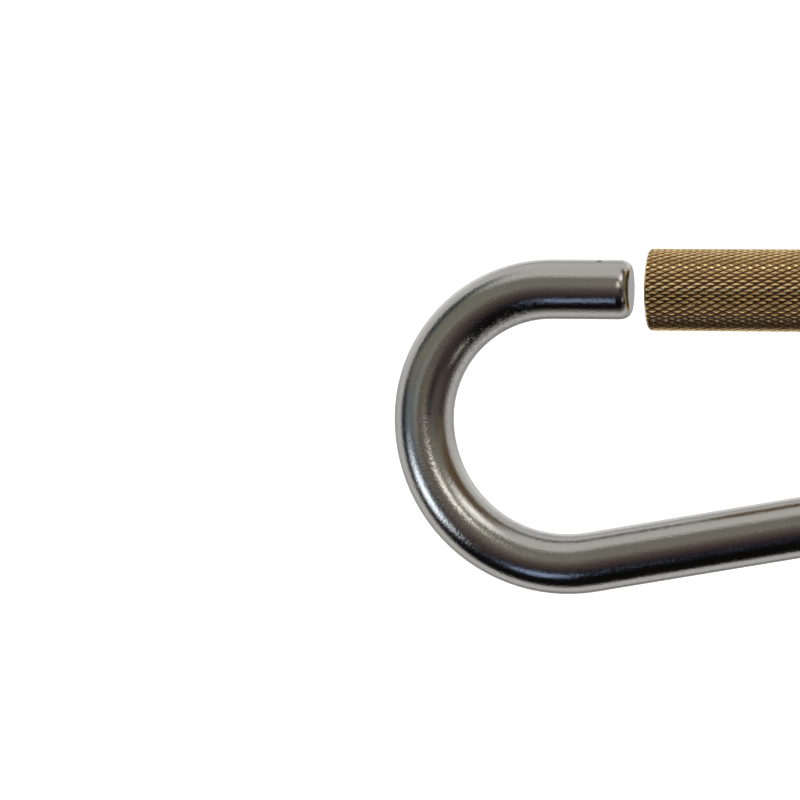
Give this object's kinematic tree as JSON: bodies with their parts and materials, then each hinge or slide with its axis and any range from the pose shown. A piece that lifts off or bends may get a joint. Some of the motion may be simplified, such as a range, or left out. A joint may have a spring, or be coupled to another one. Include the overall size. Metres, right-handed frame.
{
  "type": "locking carabiner",
  "caption": "Pear-shaped screw-lock carabiner: bent round bar with a plain nose, a sprung hinged gate and a knurled brass locking sleeve.",
  "frame": {"origin": "centre of the large bend's spine-side arc, on the bar's middle plane", "axes": "+X along the gate from the nose towards the hinge and the small end, +Z from the spine to the gate, +Y along the hinge rivet through the bar's thickness"},
  "size_m": [0.1164, 0.0138, 0.0577],
  "materials": {
    "polished_steel": "bright plated steel, polished, with faint bending marks",
    "brass": "bright turned and diamond-knurled brass",
    "spring_steel": "drawn spring wire and hardened pin"
  },
  "bodies": {
    "frame": {"frame_bar": "polished_steel"},
    "gate": {"gate_arm": "polished_steel", "hinge_rivet": "polished_steel", "tip_stop_ring": "spring_steel", "gate_spring": "spring_steel"},
    "plunger": {"gate_plunger": "spring_steel"},
    "drag_ring": {"sleeve_drag_ring": "spring_steel"},
    "sleeve": {"lock_sleeve": "brass"}
  },
  "joints": [
    {"name": "gate_hinge", "type": "hinge", "parent": "frame", "child": "gate", "pos_m": [0.054, 0, 0.0214], "axis": [0, -1, 0], "range_deg": [0, 38], "stiffness_Nm_per_rad": 0.095, "springref_deg": -47.73},
    {"name": "plunger_slide", "type": "slide", "parent": "gate", "child": "plunger", "axis": [-1, 0, 0], "range_m": [0, 0.002], "deforming": ["gate_spring"]},
    {"name": "sleeve_travel", "type": "slide", "parent": "gate", "child": "drag_ring", "axis": [-1, 0, 0], "range_m": [0, 0.009]},
    {"name": "sleeve_turn", "type": "hinge", "parent": "drag_ring", "child": "sleeve", "pos_m": [0.0441, 0, 0.0214], "axis": [-1, 0, 0], "range_deg": [0, 1621]}
  ],
  "couplings": [
    {"joint": "plunger_slide", "follows": "gate_hinge", "m_per_rad": 0.003},
    {"joint": "sleeve_turn", "follows": "sleeve_travel", "rad_per_m": 3141.6}
  ]
}
